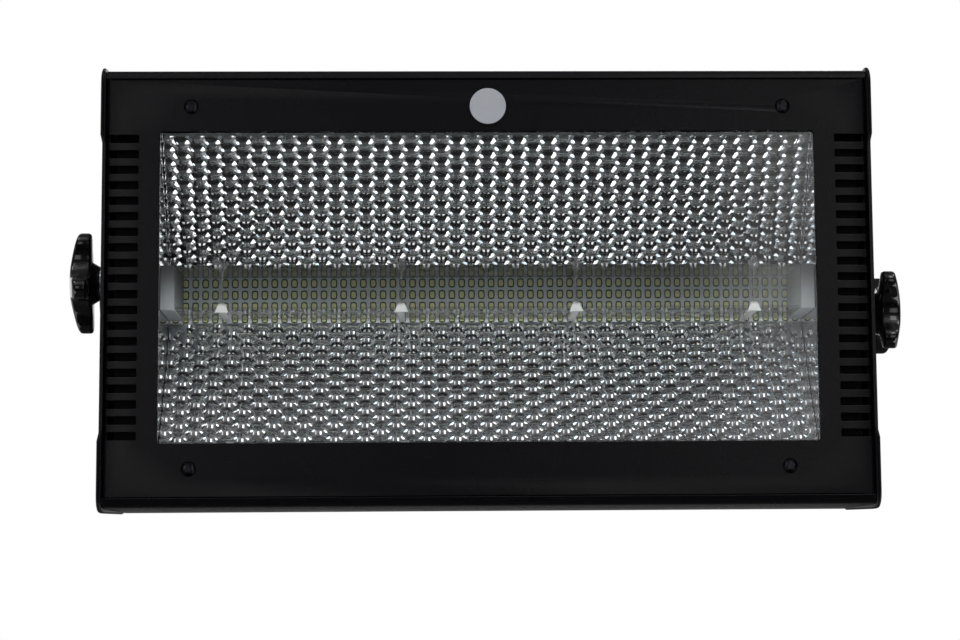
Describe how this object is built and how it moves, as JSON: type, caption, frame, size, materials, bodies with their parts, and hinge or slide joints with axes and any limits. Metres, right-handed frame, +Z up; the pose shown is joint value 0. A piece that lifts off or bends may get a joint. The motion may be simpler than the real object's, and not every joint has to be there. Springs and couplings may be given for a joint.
{
  "type": "strobe light",
  "caption": "Wide rectangular strobe lamp with a faceted mirror trough, a central diode bar and a tilting yoke with lobed lock knobs.",
  "frame": {"origin": "centre of the footprint at the height of the surface that the cheeks stand on", "axes": "+X to the right seen from the front, the light leaves towards -Y, +Z up"},
  "size_m": [0.473, 0.24, 0.245],
  "materials": {
    "black_paint": "fine satin powder coat",
    "black_plastic": "moulded, matt",
    "bakelite": "polished phenolic",
    "window_glass": "clear, polished",
    "clear_plastic": "clear polycarbonate",
    "frosted_plastic": "frosted polycarbonate",
    "rubber": "matt black",
    "mirror_sheet": "vacuum-coated mirror",
    "white_board": "white solder mask",
    "green_board": "green solder mask",
    "supply_case": "satin grey case",
    "bare_aluminium": "extruded, bare",
    "zinc_steel": "zinc plated",
    "black_screw": "black oxide",
    "light_grey": "satin",
    "smoked_plastic": "smoked, clear"
  },
  "bodies": {
    "lamp_body": {"housing_shell": "black_paint", "front_bezel": "black_paint", "window_carrier": "black_paint", "left_end_cheek": "black_paint", "right_end_cheek": "black_paint", "rear_panel": "black_paint", "left_fan_guard": "black_paint", "right_fan_guard": "black_paint", "left_fan_frame": "black_plastic", "right_fan_frame": "black_plastic", "dmx_out": "black_plastic", "mains_inlet": "black_plastic", "fuse_holder": "black_plastic", "window_glass": "window_glass", "led_cover": "clear_plastic", "cover_clip_1": "frosted_plastic", "cover_clip_2": "frosted_plastic", "cover_clip_3": "frosted_plastic", "cover_clip_4": "frosted_plastic", "window_gasket": "rubber", "left_friction_disc": "rubber", "right_friction_disc": "rubber", "upper_reflector": "mirror_sheet", "lower_reflector": "mirror_sheet", "left_reflector_end": "mirror_sheet", "right_reflector_end": "mirror_sheet", "led_board": "white_board", "driver_board": "green_board", "control_board": "green_board", "power_supply": "supply_case", "led_heatsink": "bare_aluminium", "left_pivot_bracket": "zinc_steel", "right_pivot_bracket": "zinc_steel", "left_lock_stud": "zinc_steel", "right_lock_stud": "zinc_steel", "left_knob_washer": "zinc_steel", "right_knob_washer": "zinc_steel", "safety_eye": "zinc_steel", "dmx_in": "zinc_steel", "front_screw_1": "black_screw", "front_screw_2": "black_screw", "front_screw_3": "black_screw", "front_screw_4": "black_screw", "left_pivot_bolt": "black_screw", "right_pivot_bolt": "black_screw", "left_cover_block": "light_grey", "right_cover_block": "light_grey", "badge_disc": "light_grey", "display_window": "smoked_plastic"},
    "yoke": {"yoke": "black_paint"},
    "left_knob": {"left_lock_knob": "bakelite"},
    "right_knob": {"right_lock_knob": "bakelite"},
    "left_fan": {"left_fan_rotor": "black_plastic"},
    "right_fan": {"right_fan_rotor": "black_plastic"},
    "menu_button_1": {"menu_button_1": "black_plastic"},
    "menu_button_2": {"menu_button_2": "black_plastic"},
    "menu_button_3": {"menu_button_3": "black_plastic"},
    "menu_button_4": {"menu_button_4": "black_plastic"},
    "dmx_latch": {"dmx_out_latch": "zinc_steel"},
    "fuse_cap": {"fuse_cap": "black_plastic"}
  },
  "joints": [
    {"name": "yoke_tilt", "type": "hinge", "parent": "lamp_body", "child": "yoke", "pos_m": [0, -0.035, 0.1225], "axis": [1, 0, 0], "range_deg": [-100, 100]},
    {"name": "left_knob_turn", "type": "hinge", "parent": "lamp_body", "child": "left_knob", "pos_m": [-0.223, -0.057, 0.1317], "axis": [-1, 0, 0], "continuous": true},
    {"name": "right_knob_turn", "type": "hinge", "parent": "lamp_body", "child": "right_knob", "pos_m": [0.223, -0.057, 0.1133], "axis": [1, 0, 0], "continuous": true},
    {"name": "left_fan_spin", "type": "hinge", "parent": "lamp_body", "child": "left_fan", "pos_m": [-0.142, 0.016, 0.1225], "axis": [0, 1, 0], "continuous": true},
    {"name": "right_fan_spin", "type": "hinge", "parent": "lamp_body", "child": "right_fan", "pos_m": [0.142, 0.016, 0.1225], "axis": [0, 1, 0], "continuous": true},
    {"name": "menu_button_1_press", "type": "slide", "parent": "lamp_body", "child": "menu_button_1", "axis": [0, -1, 0], "range_m": [0, 0.001], "stiffness_N_per_m": 1200},
    {"name": "menu_button_2_press", "type": "slide", "parent": "lamp_body", "child": "menu_button_2", "axis": [0, -1, 0], "range_m": [0, 0.001], "stiffness_N_per_m": 1200},
    {"name": "menu_button_3_press", "type": "slide", "parent": "lamp_body", "child": "menu_button_3", "axis": [0, -1, 0], "range_m": [0, 0.001], "stiffness_N_per_m": 1200},
    {"name": "menu_button_4_press", "type": "slide", "parent": "lamp_body", "child": "menu_button_4", "axis": [0, -1, 0], "range_m": [0, 0.001], "stiffness_N_per_m": 1200},
    {"name": "dmx_latch_press", "type": "slide", "parent": "lamp_body", "child": "dmx_latch", "axis": [0, -1, 0], "range_m": [0, 0.0012], "stiffness_N_per_m": 1000},
    {"name": "fuse_cap_turn", "type": "hinge", "parent": "lamp_body", "child": "fuse_cap", "pos_m": [0.0535, 0.035, 0.1005], "axis": [0, 1, 0], "range_deg": [0, 90]}
  ]
}
